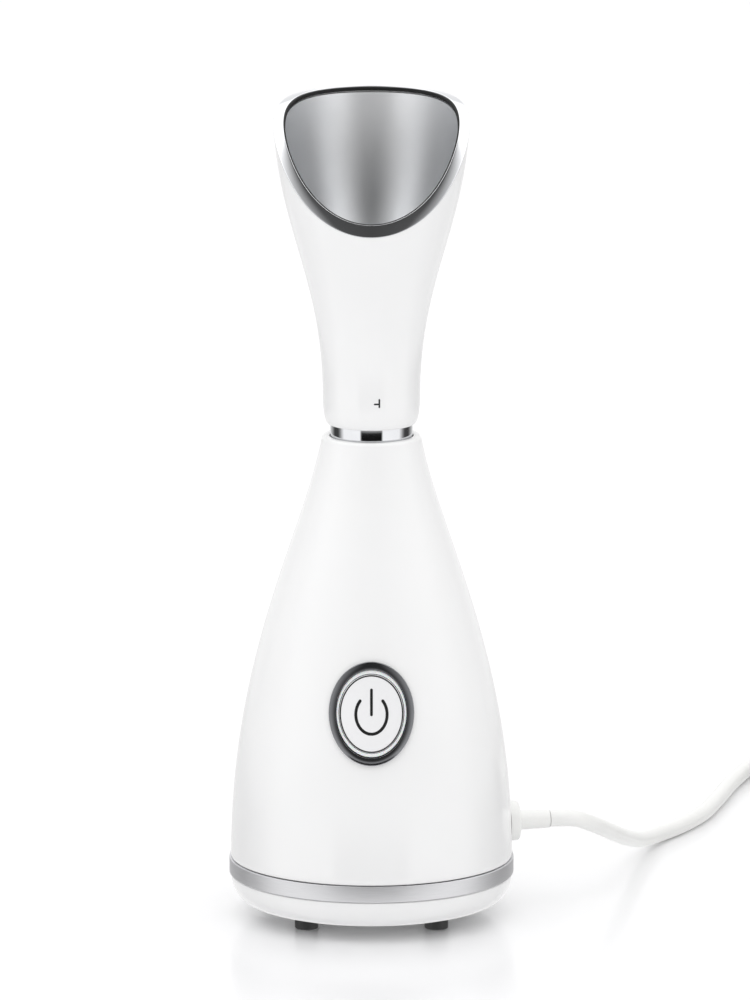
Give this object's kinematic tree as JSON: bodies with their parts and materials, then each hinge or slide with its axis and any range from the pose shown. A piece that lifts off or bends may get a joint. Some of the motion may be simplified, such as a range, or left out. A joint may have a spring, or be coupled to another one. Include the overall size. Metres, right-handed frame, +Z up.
{
  "type": "facial steamer",
  "caption": "Tabletop facial steamer: tapered white base with an oval power button, chrome neck and a turning scoop-shaped nozzle, on a mains lead with plug.",
  "frame": {"origin": "on the table, under the middle of the round base", "axes": "+Z up along the body's axis, front with the button and the mouth towards -Y, lead leaving towards +X"},
  "size_m": [0.3166, 0.3463, 0.3068],
  "materials": {
    "white_abs": "glossy injection-moulded white ABS",
    "inner_abs": "satin moulded inner plastic",
    "chrome": "bright chrome plating on moulded plastic",
    "satin_chrome": "satin chrome plating",
    "dark_chrome": "smoked chrome plating",
    "trim_metal": "brushed metallic trim",
    "black_rubber": "matt moulded rubber",
    "black_plastic": "black moulded plastic",
    "silicone": "translucent silicone",
    "aluminium": "plain pressed aluminium",
    "steel": "zinc-plated steel",
    "pin_metal": "nickel-plated brass",
    "board": "solder-masked glass fibre board",
    "white_vinyl": "satin white PVC"
  },
  "bodies": {
    "base": {"base_shell": "white_abs", "button_bezel": "dark_chrome", "button_light_ring": "silicone", "circuit_board": "board", "board_screw_1": "steel", "board_screw_2": "steel", "push_switch": "black_plastic", "trim_ring": "trim_metal", "bottom_cover": "white_abs", "foot_front_left": "black_rubber", "foot_front_right": "black_rubber", "foot_rear_left": "black_rubber", "foot_rear_right": "black_rubber", "cover_screw_1": "steel", "cover_screw_2": "steel", "cover_screw_3": "steel", "cover_screw_4": "steel", "water_tank": "aluminium", "heater_plate": "aluminium", "heater_clamp": "steel", "thermostat": "black_plastic", "thermal_fuse": "steel", "terminal_block": "inner_abs", "cord_clamp": "inner_abs", "supply_lead_inside": "white_vinyl", "heater_wire_live": "black_rubber", "heater_wire_neutral": "white_vinyl", "cord_gland": "white_vinyl", "lead_run": "white_vinyl", "lead_coil": "white_vinyl", "lead_tail": "white_vinyl", "plug_body": "black_plastic", "plug_pin_earth": "pin_metal", "plug_pin_live": "pin_metal", "plug_pin_neutral": "pin_metal", "plug_sleeve_live": "black_plastic", "plug_sleeve_neutral": "black_plastic", "plug_strain_relief": "black_plastic"},
    "button": {"button_cap": "white_abs", "switch_plunger": "black_plastic"},
    "neck": {"neck_collar": "chrome", "neck_spigot": "inner_abs", "spigot_o_ring": "silicone", "swivel_clip": "steel"},
    "nozzle": {"nozzle_shell": "white_abs", "nozzle_rim": "chrome", "nozzle_bowl": "satin_chrome", "steam_outlet": "chrome", "steam_tube": "inner_abs", "nozzle_socket": "inner_abs"}
  },
  "joints": [
    {"name": "button_press", "type": "slide", "parent": "base", "child": "button", "axis": [0, 1, 0], "range_m": [0, 0.0012], "stiffness_N_per_m": 500, "springref_m": -0.0012},
    {"name": "neck_lift", "type": "slide", "parent": "base", "child": "neck", "axis": [0, 0, 1], "range_m": [0, 0.05]},
    {"name": "nozzle_turn", "type": "hinge", "parent": "neck", "child": "nozzle", "pos_m": [0, 0, 0.19], "axis": [0, 0, 1], "continuous": true}
  ]
}
